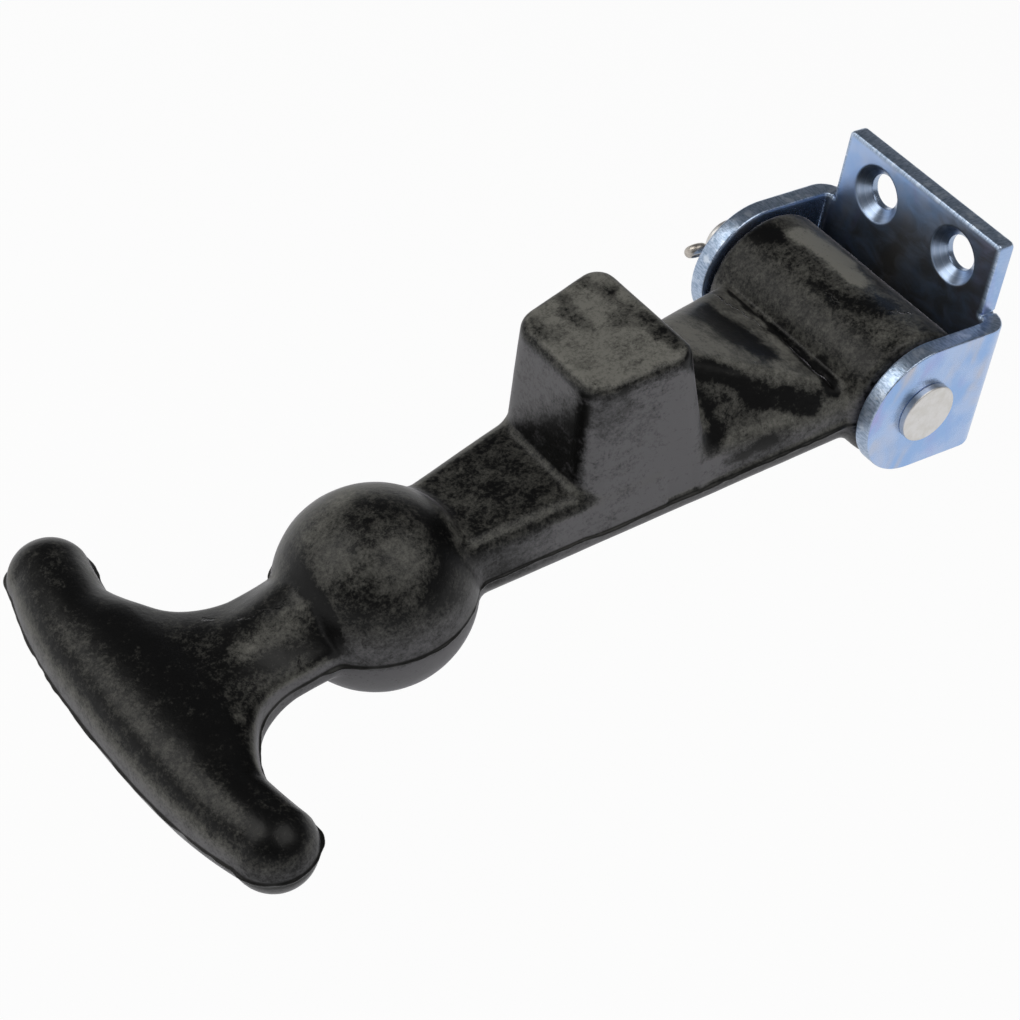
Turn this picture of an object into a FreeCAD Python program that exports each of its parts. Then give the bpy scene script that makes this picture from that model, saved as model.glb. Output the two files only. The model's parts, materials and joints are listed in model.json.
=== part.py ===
"""Rubber hood latch: a folded steel bracket, a clevis pin with its split pin, and a moulded rubber pull.

Each sub-part is drawn in a frame whose origin is the middle of the pin's axis, with +X towards the
panel, +Y along the pin and +Z up, and is then placed in the latch's own frame. That frame has its
origin on the bracket's back face, midway between the two screw holes.
"""
import FreeCAD, Part
import math
import os

import Sketcher

Vector = FreeCAD.Vector
DOC = FreeCAD.newDocument("hood_latch")
SHEET = DOC.addObject("Spreadsheet::Sheet", "Sizes")

# Driving dimensions, in millimetres and degrees.
DIMENSIONS = [
    # bracket
    ("sheet", 4.0, "thickness of the folded sheet"),
    ("plate_gap", 15.6, "pin axis to the plate's front face"),
    ("jaw_width", 47.6, "clear width between the ears"),
    ("bend_inside", 1.3, "inside radius of the two bends"),
    ("ear_radius", 14.4, "round end of an ear, about the pin"),
    ("flange_rise", 30.6, "top of the screw flange above the pin axis"),
    ("flange_corner", 1.2, "rounding of the flange's two top corners"),
    ("relief_dia", 2.2, "relief between flange and bend"),
    ("screw_rise", 21.7, "screw holes above the pin axis"),
    ("screw_spacing", 22.9, "distance between the screw holes"),
    ("screw_hole", 7.2, "screw hole diameter"),
    ("sink_dia", 12.0, "countersink diameter at the front face"),
    ("sink_depth", 2.4, "countersink depth"),
    # hinge pin and split pin
    ("pin_dia", 9.5, "shaft diameter of the hinge pin"),
    ("pin_play", 0.15, "radial play of the shaft in the ears"),
    ("pin_overhang", 7.9, "how far the shaft stands out beyond the far ear"),
    ("pin_point", 0.9, "chamfer at the shaft's end"),
    ("head_dia", 12.8, "pin head diameter"),
    ("head_height", 1.6, "pin head height"),
    ("head_edge", 0.3, "chamfer round the pin head"),
    ("cross_hole", 2.8, "hole for the split pin"),
    ("cross_inset", 4.0, "split pin's axis to the shaft's end"),
    ("split_dia", 2.4, "split pin across both legs"),
    ("split_slit", 0.12, "slit between the two legs"),
    ("split_reach", 10.9, "pin axis to the centre of the split pin's eye"),
    ("eye_radius", 1.35, "inside radius of the eye"),
    ("eye_neck", 1.9, "curve between the eye and a leg"),
    ("leg_reach", 6.2, "pin axis to where the legs are bent open"),
    ("leg_bend", 1.9, "radius to which a leg is bent"),
    ("leg_tail", 4.6, "straight tail past the bend"),
    ("leg_splay", 55.0, "angle to which a tail is bent open"),
    ("split_tilt", 12.5, "slope of the split pin about the hinge pin"),
    # rubber pull
    ("droop", 13.2, "slope of the pull below the plate's normal"),
    ("bore_play", 0.05, "radial play of the pin in the rubber"),
    ("barrel_radius", 14.3, "outside radius of the barrel"),
    ("barrel_play", 1.0, "gap between the barrel and each ear"),
    ("barrel_edge", 1.1, "chamfer round the barrel's two rims"),
    ("ball_reach", 111.0, "pin axis to the ball's centre"),
    ("ball_radius", 19.7, "radius of the retaining ball"),
    ("strap_play", 0.4, "gap between the strap's side and an ear, drawn out to the pin axis"),
    ("strap_end", 19.6, "strap width, drawn out to the ball's centre"),
    ("strap_inset", 8.6, "pin axis to the strap's end, inside the barrel"),
    ("strap_rise", 10.0, "strap above the parting plane"),
    ("strap_drop", 6.5, "strap below the parting plane"),
    ("strap_top_edge", 3.6, "rounding along the strap's upper edges"),
    ("strap_low_edge", 5.2, "rounding along the strap's lower edges"),
    ("draft", 3.5, "draft of the moulded side walls"),
    ("block_front", 73.8, "pin axis to the foot of the block's front wall"),
    ("block_front_draft", 8.6, "lean of the block's front wall"),
    ("block_back", 43.6, "pin axis to the foot of the block's back wall"),
    ("block_back_draft", 4.7, "lean of the block's back wall"),
    ("block_rise", 34.4, "top of the block above the parting plane"),
    ("block_corner", 4.2, "rounding of the block's upright corners"),
    ("block_edge", 1.5, "rounding round the block's top"),
    ("ramp_inset", 10.0, "pin axis to the ramp's lower end, inside the barrel"),
    ("ramp_bite", 0.5, "how far the ramp's upper end sinks into the block"),
    ("ramp_rise", 26.0, "ramp's top edge where it meets the block"),
    ("ramp_top", 5.0, "width of the ramp's top edge at the block"),
    ("ramp_shoulder", 8.0, "foot of the ramp's flanks at the block"),
    ("ramp_root_rise", 5.4, "ramp's top at the barrel"),
    ("ramp_root_top", 40.6, "width of the ramp's top at the barrel"),
    ("ramp_root_shoulder", 0.8, "foot of the ramp's flanks at the barrel"),
    ("ramp_edge", 2.0, "rounding along the ramp's two upper edges"),
    ("neck_width", 26.6, "neck width at the parting plane"),
    ("neck_rise", 7.9, "neck above and below the parting plane"),
    ("neck_bevel", 7.2, "bevel along the neck's edges"),
    ("neck_root_length", 28.0, "ball's centre to where its root has sunk into the neck"),
    ("neck_root_radius", 14.0, "radius of the neck's round root inside the ball"),
    ("neck_root_start", 10.0, "ball's centre to the wide end of the root"),
    ("neck_flare", 12.0, "radius of the flare from neck to handle"),
    ("handle_reach", 161.4, "pin axis to the middle of the handle bar"),
    ("handle_sweep", 2.8, "how far the bar's ends are swept back"),
    ("handle_span", 80.6, "distance between the bar's two end centres"),
    ("handle_radius", 9.3, "bar radius in the middle"),
    ("handle_end_radius", 7.7, "bar radius at its ends"),
]


class Size:
    """A number that also carries the expression which binds it to the sheet."""

    def __init__(self, value, text):
        self.value = value
        self.text = text

    def __add__(self, other):
        other = as_size(other)
        return Size(self.value + other.value, f"({self.text} + {other.text})")

    def __radd__(self, other):
        return as_size(other) + self

    def __sub__(self, other):
        other = as_size(other)
        return Size(self.value - other.value, f"({self.text} - {other.text})")

    def __rsub__(self, other):
        return as_size(other) - self

    def __mul__(self, other):
        other = as_size(other)
        return Size(self.value * other.value, f"({self.text} * {other.text})")

    def __rmul__(self, other):
        return as_size(other) * self

    def __truediv__(self, other):
        other = as_size(other)
        return Size(self.value / other.value, f"({self.text} / {other.text})")

    def __neg__(self):
        return Size(-self.value, f"(0 - {self.text})")


def as_size(number):
    return number if isinstance(number, Size) else Size(float(number), repr(float(number)))


def root(size):
    return Size(math.sqrt(size.value), f"sqrt({size.text})")


def tangent(size):
    return Size(math.tan(math.radians(size.value)), f"tan({size.text} * 1 deg)")


def sine(size):
    return Size(math.sin(math.radians(size.value)), f"sin({size.text} * 1 deg)")


def cosine(size):
    return Size(math.cos(math.radians(size.value)), f"cos({size.text} * 1 deg)")


def fill_sheet():
    """Writes the driving dimensions and returns them by name."""
    sizes = {}
    for row, (name, value, meaning) in enumerate(DIMENSIONS, start=1):
        SHEET.set(f"A{row}", meaning)
        SHEET.set(f"B{row}", str(value))
        SHEET.setAlias(f"B{row}", name)
        sizes[name] = Size(value, f"Sizes.{name}")
    DOC.recompute()
    return sizes


D = fill_sheet()
BARREL_WIDTH = D["jaw_width"] - 2 * D["barrel_play"]
STRAP_ROOT = D["jaw_width"] - 2 * D["strap_play"]
PIN_LENGTH = D["jaw_width"] + 2 * D["sheet"] + D["pin_overhang"]


def bind(feature, path, size):
    feature.setExpression(path, as_size(size).text)


# Sketches and features

def new_body(name):
    return DOC.addObject("PartDesign::Body", name)


def origin_plane(body, role):
    return [f for f in body.Origin.OriginFeatures if f.Role == role][0]


def new_sketch(body, name, plane, offset=None):
    """A sketch on one of the body's origin planes, moved along its normal by offset."""
    sketch = body.newObject("Sketcher::SketchObject", name)
    sketch.AttachmentSupport = (origin_plane(body, plane), [""])
    sketch.MapMode = "FlatFace"
    if offset is not None:
        bind(sketch, "AttachmentOffset.Base.z", offset)
    return sketch


def pin_point(sketch, edge, end, point):
    """Fixes one end of an edge, or a circle's centre, by its two coordinates."""
    for kind, coordinate in zip(("DistanceX", "DistanceY"), point):
        coordinate = as_size(coordinate)
        index = sketch.addConstraint(Sketcher.Constraint(kind, -1, 1, edge, end, coordinate.value))
        bind(sketch, f"Constraints[{index}]", coordinate)


def arc_through(start, end, radius, side):
    """The short arc of a radius from start to end; side is +1 to turn left, -1 to turn right."""
    chord = end - start
    middle = (start + end) * 0.5
    left = Vector(-chord.y, chord.x, 0).normalize()
    rise = math.sqrt(max(radius ** 2 - (chord.Length / 2) ** 2, 0.0))
    centre = middle + left * (rise * side)
    circle = Part.Circle(centre, Vector(0, 0, 1), radius)
    first, last = (start, end) if side > 0 else (end, start)
    return Part.ArcOfCircle(circle, circle.parameter(first), circle.parameter(last))


def draw(sketch, points, arcs=None, closed=True):
    """Draws an outline through points; arcs gives the radius and side of the edges that are arcs."""
    arcs = arcs or {}
    places = [Vector(as_size(u).value, as_size(v).value, 0) for u, v in points]
    count = len(points) if closed else len(points) - 1
    heads = []
    tails = []
    for i in range(count):
        start = places[i]
        end = places[(i + 1) % len(points)]
        if i in arcs:
            radius, side = arcs[i]
            sketch.addGeometry(arc_through(start, end, as_size(radius).value, side))
            heads.append(1 if side > 0 else 2)
            tails.append(2 if side > 0 else 1)
        else:
            sketch.addGeometry(Part.LineSegment(start, end))
            heads.append(1)
            tails.append(2)
    for i in range(count):
        following = (i + 1) % count
        if closed or following > i:
            sketch.addConstraint(Sketcher.Constraint("Coincident", i, tails[i], following, heads[following]))
    for i in range(count):
        pin_point(sketch, i, heads[i], points[i])
    if not closed:
        pin_point(sketch, count - 1, tails[-1], points[-1])
    for i, (radius, side) in arcs.items():
        radius = as_size(radius)
        index = sketch.addConstraint(Sketcher.Constraint("Radius", i, radius.value))
        bind(sketch, f"Constraints[{index}]", radius)


def draw_circle(sketch, centre, radius):
    radius = as_size(radius)
    place = Vector(as_size(centre[0]).value, as_size(centre[1]).value, 0)
    edge = sketch.addGeometry(Part.Circle(place, Vector(0, 0, 1), radius.value))
    pin_point(sketch, edge, 3, centre)
    index = sketch.addConstraint(Sketcher.Constraint("Radius", edge, radius.value))
    bind(sketch, f"Constraints[{index}]", radius)


def pad(body, name, sketch, length, both_ways=False, backwards=False):
    feature = body.newObject("PartDesign::Pad", name)
    feature.Profile = sketch
    bind(feature, "Length", length)
    feature.Midplane = both_ways
    feature.Reversed = backwards
    DOC.recompute()
    return feature


def pocket_through(body, name, sketch):
    """Cuts a sketch right through the body, both ways from its plane."""
    before = body.Shape.Volume
    feature = body.newObject("PartDesign::Pocket", name)
    feature.Profile = sketch
    feature.Type = "ThroughAll"
    feature.Midplane = True
    DOC.recompute()
    if not feature.Shape.Volume < before:
        raise RuntimeError(f"{name} cuts nothing")
    return feature


def loft(body, name, sketches, ruled):
    feature = body.newObject("PartDesign::AdditiveLoft", name)
    feature.Profile = sketches[0]
    feature.Sections = sketches[1:]
    feature.Ruled = ruled
    DOC.recompute()
    return feature


def edges_where(shape, test):
    """Names of the edges that pass a test on the edge."""
    return [f"Edge{i}" for i, edge in enumerate(shape.Edges, start=1) if test(edge)]


def fillet(body, name, test, radius):
    base = body.Tip
    feature = body.newObject("PartDesign::Fillet", name)
    feature.Base = (base, edges_where(base.Shape, test))
    bind(feature, "Radius", radius)
    DOC.recompute()
    return feature


def chamfer(body, name, test, size):
    base = body.Tip
    feature = body.newObject("PartDesign::Chamfer", name)
    feature.Base = (base, edges_where(base.Shape, test))
    bind(feature, "Size", size)
    DOC.recompute()
    return feature


def draft(body, name, test, angle):
    """Slopes the walls that pass a test inwards, as they leave the parting plane."""
    base = body.Tip
    before = base.Shape.Volume
    feature = body.newObject("PartDesign::Draft", name)
    walls = [f"Face{i}" for i, face in enumerate(base.Shape.Faces, start=1) if test(face.normalAt(0, 0))]
    feature.Base = (base, walls)
    feature.NeutralPlane = (origin_plane(body, "XY_Plane"), [""])
    bind(feature, "Angle", angle)
    DOC.recompute()
    if feature.Shape.Volume > before:
        feature.Reversed = True
        DOC.recompute()
    return feature


def mirrored(body, name, features, plane):
    """Mirrors features in one of the body's origin planes."""
    feature = body.newObject("PartDesign::Mirrored", name)
    feature.Originals = features
    feature.MirrorPlane = (origin_plane(body, plane), [""])
    body.Tip = feature
    DOC.recompute()
    return feature


def near(value, target):
    return abs(value - target) < 0.01


def ends(edge):
    return [vertex.Point for vertex in edge.Vertexes]


def place_on_pin(part, along=0.0):
    """Moves a sub-part from the pin's frame to the latch's frame."""
    bind(part, "Placement.Base.x", -(D["plate_gap"] + D["sheet"]))
    bind(part, "Placement.Base.y", along)
    bind(part, "Placement.Base.z", -D["screw_rise"])


def slope_about_pin(part, angle):
    """Turns a sub-part about the pin so that its -X end drops by angle."""
    part.Placement = FreeCAD.Placement(Vector(), FreeCAD.Rotation(Vector(0, -1, 0), as_size(angle).value))
    bind(part, "Placement.Rotation.Angle", angle)


# Bracket: one folded sheet

def make_bracket():
    body = new_body("bracket")
    front = D["plate_gap"]
    back = front + D["sheet"]
    inside = D["jaw_width"] / 2
    outside = inside + D["sheet"]
    inner_bend = D["bend_inside"]
    outer_bend = D["bend_inside"] + D["sheet"]
    spare = 2.0
    tip = -(D["ear_radius"] + spare)

    channel = new_sketch(body, "channel_outline", "XY_Plane")
    draw(channel, [
        (tip, -outside), (back - outer_bend, -outside), (back, -(outside - outer_bend)),
        (back, outside - outer_bend), (back - outer_bend, outside), (tip, outside),
        (tip, inside), (front - inner_bend, inside), (front, inside - inner_bend),
        (front, -(inside - inner_bend)), (front - inner_bend, -inside), (tip, -inside),
    ], arcs={1: (outer_bend, 1), 3: (outer_bend, 1), 7: (inner_bend, -1), 9: (inner_bend, -1)})
    pad(body, "channel", channel, 2 * D["ear_radius"], both_ways=True)

    flat = inside - inner_bend
    flange = new_sketch(body, "flange_outline", "YZ_Plane", front)
    draw(flange, [(-flat, 0), (flat, 0), (flat, D["flange_rise"]), (-flat, D["flange_rise"])])
    pad(body, "flange", flange, D["sheet"])
    top = D["flange_rise"].value
    fillet(body, "flange_corners", lambda e: all(near(p.z, top) for p in ends(e))
           and near(ends(e)[0].y, ends(e)[-1].y), D["flange_corner"])

    radius = D["ear_radius"]
    margin = radius + 2 * spare
    beyond = new_sketch(body, "ear_end_waste", "XZ_Plane")
    draw(beyond, [(0, radius), (0, margin), (-margin, margin), (-margin, -margin), (0, -margin),
                  (0, -radius), (-radius, 0)], arcs={5: (radius, -1), 6: (radius, -1)})
    pocket_through(body, "ear_ends", beyond)

    eyes = new_sketch(body, "pin_hole_outline", "XZ_Plane")
    draw_circle(eyes, (0, 0), D["pin_dia"] / 2 + D["pin_play"])
    pocket_through(body, "pin_holes", eyes)

    reliefs = new_sketch(body, "relief_outline", "YZ_Plane", front)
    for side in (-1, 1):
        draw_circle(reliefs, (flat * side, D["ear_radius"]), D["relief_dia"] / 2)
    pocket_through(body, "reliefs", reliefs)

    cone = new_sketch(body, "screw_hole_section", "XY_Plane", D["screw_rise"])
    axis = D["screw_spacing"] / 2
    over = 1.0
    draw(cone, [(front - over, axis), (back + over, axis), (back + over, axis + D["screw_hole"] / 2),
                (front + D["sink_depth"], axis + D["screw_hole"] / 2),
                (front, axis + D["sink_dia"] / 2), (front - over, axis + D["sink_dia"] / 2)])
    hole = body.newObject("PartDesign::Groove", "screw_hole_cut")
    hole.Profile = cone
    hole.ReferenceAxis = (cone, ["Edge1"])
    hole.Angle = 360
    DOC.recompute()
    mirrored(body, "screw_hole_pair", [hole], "XZ_Plane")
    place_on_pin(body)
    return body


# Hinge pin and split pin

def make_hinge_pin():
    """Drawn from the underside of its head, with the shaft along +Y."""
    body = new_body("hinge_pin")
    radius = D["pin_dia"] / 2
    head = D["head_dia"] / 2
    profile = new_sketch(body, "pin_section", "XY_Plane")
    edge = D["head_edge"]
    point = D["pin_point"]
    draw(profile, [
        (0, -D["head_height"]), (head - edge, -D["head_height"]), (head, edge - D["head_height"]),
        (head, 0), (radius, 0), (radius, PIN_LENGTH - point),
        (radius - point, PIN_LENGTH), (0, PIN_LENGTH),
    ])
    turned = body.newObject("PartDesign::Revolution", "turned_pin")
    turned.Profile = profile
    turned.ReferenceAxis = (profile, ["V_Axis"])
    turned.Angle = 360
    DOC.recompute()
    cross = new_sketch(body, "cross_hole_outline", "YZ_Plane")
    draw_circle(cross, (PIN_LENGTH - D["cross_inset"], 0), D["cross_hole"] / 2)
    pocket_through(body, "cross_hole_cut", cross)
    slope_about_pin(body, -D["split_tilt"])
    place_on_pin(body, -(D["jaw_width"] / 2 + D["sheet"]))
    return body


def make_split_pin():
    """Half-round wire folded double: an eye, two legs side by side, and their tails bent open."""
    body = new_body("split_pin")
    slit = D["split_slit"] / 2
    wire = D["split_dia"] / 2 - slit
    eye = D["eye_radius"]
    neck = D["eye_neck"]
    bend = D["leg_bend"]
    centre = -D["split_reach"]

    # The path is the wire's flat side, from the eye's far point to the tail's end.
    neck_x = centre + root((eye + neck) * (eye + neck) - (slit + neck) * (slit + neck))
    share = eye / (eye + neck)
    touch = (centre + (neck_x - centre) * share, (slit + neck) * share)
    splay = D["leg_splay"]
    bend_end = (D["leg_reach"] + bend * sine(splay), slit + bend - bend * cosine(splay))
    tail_end = (bend_end[0] + D["leg_tail"] * cosine(splay), bend_end[1] + D["leg_tail"] * sine(splay))
    path = new_sketch(body, "wire_path", "XZ_Plane")
    draw(path, [
        (centre - eye, 0), (centre, eye), touch, (neck_x, slit), (D["leg_reach"], slit), bend_end, tail_end,
    ], arcs={0: (eye, -1), 1: (eye, -1), 2: (neck, 1), 4: (bend, 1)}, closed=False)

    section = new_sketch(body, "wire_section", "XY_Plane")
    flat = centre - eye
    corners = 6
    turns = [math.pi * (corner / corners - 0.5) for corner in range(corners + 1)]
    draw(section, [(flat - wire * math.cos(turn), wire * math.sin(turn)) for turn in turns])
    half = body.newObject("PartDesign::AdditivePipe", "half_wire")
    half.Profile = section
    half.Spine = path
    DOC.recompute()
    mirrored(body, "folded_wire", [half], "XY_Plane")
    slope_about_pin(body, -D["split_tilt"])
    place_on_pin(body, PIN_LENGTH - D["cross_inset"] - (D["jaw_width"] / 2 + D["sheet"]))
    return body


# Rubber pull: lumps of one moulding, fused

def strap_half(x):
    """Half the strap's width at the parting plane, at a distance x from the pin axis (negative)."""
    taper = (STRAP_ROOT - D["strap_end"]) / (2 * D["ball_reach"])
    return STRAP_ROOT / 2 + taper * x


def make_barrel():
    body = new_body("barrel")
    outline = new_sketch(body, "barrel_outline", "XZ_Plane")
    draw_circle(outline, (0, 0), D["barrel_radius"])
    pad(body, "barrel_roll", outline, BARREL_WIDTH, both_ways=True)
    chamfer(body, "barrel_rims", lambda e: e.Curve.TypeId == "Part::GeomCircle", D["barrel_edge"])
    return body


def along_strap(edge, height):
    """True for a long edge of the strap at a height."""
    first, last = ends(edge)[0], ends(edge)[-1]
    return near(first.z, height) and near(last.z, height) and abs(first.x - last.x) > 1.0


def make_strap_half(name, start, stop, height, edge, backwards):
    """A drafted slab of the strap, on one side of the parting plane, with rounded long edges."""
    body = new_body(name)
    plan = new_sketch(body, name + "_plan", "XY_Plane")
    draw(plan, [(start, -strap_half(start)), (stop, -strap_half(stop)),
                (stop, strap_half(stop)), (start, strap_half(start))])
    pad(body, name + "_slab", plan, height, backwards=backwards)
    draft(body, name + "_walls", lambda normal: abs(normal.y) > 0.5, D["draft"])
    level = -height.value if backwards else height.value
    fillet(body, name + "_edges", lambda e: along_strap(e, level), edge)
    return body


def make_block():
    """The tapered block: upright corners well rounded, its side walls flush with the strap's."""
    body = new_body("block")
    front = -D["block_front"]
    back = -D["block_back"]
    plan = new_sketch(body, "block_plan", "XY_Plane")
    draw(plan, [(front, -strap_half(front)), (back, -strap_half(back)),
                (back, strap_half(back)), (front, strap_half(front))])
    pad(body, "block_prism", plan, D["block_rise"])
    draft(body, "block_sides", lambda normal: abs(normal.y) > 0.5, D["draft"])
    draft(body, "block_front_wall", lambda normal: normal.x < -0.5, D["block_front_draft"])
    draft(body, "block_back_wall", lambda normal: normal.x > 0.5, D["block_back_draft"])
    top = D["block_rise"].value
    fillet(body, "block_corners", lambda e: abs(ends(e)[0].z - ends(e)[-1].z) > top / 2, D["block_corner"])
    fillet(body, "block_rim", lambda e: all(near(p.z, top) for p in ends(e)), D["block_edge"])
    return body


def make_ramp():
    """The buttress from the barrel up to the block's back, narrowing as it rises."""
    body = new_body("ramp")
    block_back_top = D["block_back"] + D["block_rise"] * tangent(D["block_back_draft"])
    sections = []
    for name, x, rise, top, shoulder in (
            ("ramp_root", -D["ramp_inset"], D["ramp_root_rise"], D["ramp_root_top"],
             D["ramp_root_shoulder"]),
            ("ramp_head", -(block_back_top + D["ramp_bite"]), D["ramp_rise"], D["ramp_top"],
             D["ramp_shoulder"])):
        section = new_sketch(body, name, "YZ_Plane", x)
        foot = strap_half(x)
        wall = foot - shoulder * tangent(D["draft"])
        draw(section, [(-foot, 0), (foot, 0), (wall, shoulder), (top / 2, rise), (-(top / 2), rise),
                       (-wall, shoulder)])
        sections.append(section)
    loft(body, "ramp_faces", sections, ruled=True)
    low = D["ramp_root_rise"].value
    fillet(body, "ramp_edges", lambda e: abs(ends(e)[0].x - ends(e)[-1].x) > 1
           and min(p.z for p in ends(e)) > low - 0.01, D["ramp_edge"])
    return body


def make_neck():
    """Beveled neck between ball and handle, flaring into the bar."""
    body = new_body("neck")
    half = D["neck_width"] / 2
    bar_face = -(D["handle_reach"] - D["handle_radius"])
    flare = D["neck_flare"]
    inner = -D["ball_reach"]
    bar_axis = D["handle_sweep"] / 2 - D["handle_reach"]
    plan = new_sketch(body, "neck_plan", "XY_Plane")
    draw(plan, [
        (inner, half), (bar_face + flare, half), (bar_face, half + flare), (bar_axis, half + flare),
        (bar_axis, -(half + flare)), (bar_face, -(half + flare)), (bar_face + flare, -half), (inner, -half),
    ], arcs={1: (flare, -1), 5: (flare, -1)})
    pad(body, "neck_slab", plan, 2 * D["neck_rise"], both_ways=True)
    rise = D["neck_rise"].value

    def long_edge(edge):
        first, last = ends(edge)[0], ends(edge)[-1]
        level = near(abs(first.z), rise) and near(first.z, last.z)
        return level and abs(first.x - last.x) > 0.5

    chamfer(body, "neck_bevels", long_edge, D["neck_bevel"])

    root_section = new_sketch(body, "neck_root_section", "XY_Plane")
    wide = -(D["ball_reach"] + D["neck_root_start"])
    narrow = -(D["ball_reach"] + D["neck_root_length"])
    draw(root_section, [(wide, 0), (wide, D["neck_root_radius"]), (narrow, D["neck_rise"]), (narrow, 0)])
    root_feature = body.newObject("PartDesign::Revolution", "neck_root")
    root_feature.Profile = root_section
    root_feature.ReferenceAxis = (root_section, ["H_Axis"])
    root_feature.Angle = 360
    DOC.recompute()
    return body


def handle_stations():
    """Along half the bar: how far out, how far swept back, and how thick it is there."""
    half_span = D["handle_span"] / 2
    end_radius = D["handle_end_radius"]
    stations = []
    for share in (0, 0.63, 1):
        bow = share ** 2
        stations.append((half_span * share, D["handle_sweep"] * bow,
                         D["handle_radius"] - (D["handle_radius"] - end_radius) * bow))
    end_slope = 2 * D["handle_sweep"] / half_span
    for turn in (28, 54, 76):
        beyond = end_radius * math.sin(math.radians(turn))
        stations.append((half_span + beyond, D["handle_sweep"] + end_slope * beyond,
                         end_radius * math.cos(math.radians(turn))))
    return stations


def make_handle():
    """The bar of the T, bowed, thinner towards its ends, which are rounded off."""
    body = new_body("handle")
    outwards = handle_stations()
    mirrored_half = [(-out, sweep, radius) for out, sweep, radius in reversed(outwards[1:])]
    sections = []
    for number, (out, sweep, radius) in enumerate(mirrored_half + outwards, start=1):
        section = new_sketch(body, f"handle_section_{number}", "XZ_Plane", out)
        draw_circle(section, (sweep - D["handle_reach"], 0), radius)
        sections.append(section)
    loft(body, "handle_bar", sections, ruled=True)
    return body


def make_ball():
    ball = DOC.addObject("Part::Sphere", "ball")
    bind(ball, "Radius", D["ball_radius"])
    bind(ball, "Placement.Base.x", -D["ball_reach"])
    return ball


def make_rubber_pull():
    end = -D["strap_inset"]
    block_middle = -((D["block_front"] + D["block_back"]) / 2)
    lumps = [
        make_barrel(),
        make_strap_half("strap_upper", -D["ball_reach"], block_middle, D["strap_rise"],
                        D["strap_top_edge"], backwards=False),
        make_strap_half("strap_lower", -D["ball_reach"], end, D["strap_drop"],
                        D["strap_low_edge"], backwards=True),
        make_block(),
        make_ramp(),
        make_ball(),
        make_neck(),
        make_handle(),
    ]
    moulding = DOC.addObject("Part::MultiFuse", "moulding")
    moulding.Shapes = lumps
    moulding.Refine = True
    bore = DOC.addObject("Part::Cylinder", "bore")
    overrun = 2.0
    bind(bore, "Radius", D["pin_dia"] / 2 + D["bore_play"])
    bind(bore, "Height", BARREL_WIDTH + overrun)
    bore.Placement = FreeCAD.Placement(Vector(), FreeCAD.Rotation(Vector(1, 0, 0), 90))
    bind(bore, "Placement.Base.y", (BARREL_WIDTH + overrun) / 2)
    pull = DOC.addObject("Part::Cut", "rubber_pull")
    pull.Base = moulding
    pull.Tool = bore
    pull.Refine = True
    slope_about_pin(pull, D["droop"])
    place_on_pin(pull)
    return pull


def check_document():
    """Stops when any object of the document has failed."""
    for item in DOC.Objects:
        if "Invalid" in item.State or "Error" in item.State:
            raise RuntimeError(f"{item.Name} failed: {item.State}")


def main():
    sub_parts = [make_bracket(), make_hinge_pin(), make_split_pin(), make_rubber_pull()]
    for part in sub_parts:
        part.Label = part.Name
    DOC.recompute()
    check_document()
    os.makedirs("parts", exist_ok=True)
    for part in sub_parts:
        if part.Shape.isNull() or not part.Shape.isValid():
            raise RuntimeError(f"{part.Label} has no valid shape")
    for part in sub_parts:
        box = part.Shape.BoundBox
        print(f"{part.Label}: {len(part.Shape.Solids)} solid, volume {part.Shape.Volume / 1000:.2f} cm3,"
              f" x {box.XMin:.1f}..{box.XMax:.1f} y {box.YMin:.1f}..{box.YMax:.1f}"
              f" z {box.ZMin:.1f}..{box.ZMax:.1f}")
        part.Shape.exportStep(f"parts/{part.Label}.step")


main()
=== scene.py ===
"""Rubber hood latch: a moulded pull, a folded and plated bracket, a clevis pin and its split pin.

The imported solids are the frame. The pull, the bracket and both pins are modelled again over them,
with the edges, flash and finish that the real ones have. Lengths are in millimetres until an object
is made. The pull has a frame of its own: its origin is the middle of the hinge pin,
+X points to the panel, +Y along the pin and +Z up from the mould's parting plane.
"""
import json
import math

import bmesh
import bpy
import numpy as np
from mathutils import Matrix, Vector
from mathutils.geometry import delaunay_2d_cdt


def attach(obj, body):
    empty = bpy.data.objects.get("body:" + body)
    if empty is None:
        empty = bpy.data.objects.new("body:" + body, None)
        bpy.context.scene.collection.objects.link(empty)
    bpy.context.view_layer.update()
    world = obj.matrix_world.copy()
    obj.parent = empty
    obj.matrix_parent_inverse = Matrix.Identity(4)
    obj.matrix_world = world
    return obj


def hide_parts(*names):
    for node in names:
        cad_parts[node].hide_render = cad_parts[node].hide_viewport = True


MM = 0.001

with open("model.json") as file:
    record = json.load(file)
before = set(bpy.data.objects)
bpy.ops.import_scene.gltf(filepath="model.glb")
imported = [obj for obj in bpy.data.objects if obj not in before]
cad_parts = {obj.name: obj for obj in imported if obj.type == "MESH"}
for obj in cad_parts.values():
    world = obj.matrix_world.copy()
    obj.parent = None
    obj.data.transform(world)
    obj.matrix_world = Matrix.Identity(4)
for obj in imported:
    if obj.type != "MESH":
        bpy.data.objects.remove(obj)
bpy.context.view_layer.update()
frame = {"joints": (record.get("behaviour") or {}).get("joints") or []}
PIVOT = Vector(frame["joints"][0]["pos_m"])
DROOP = math.radians(13.2)


# Camera

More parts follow.
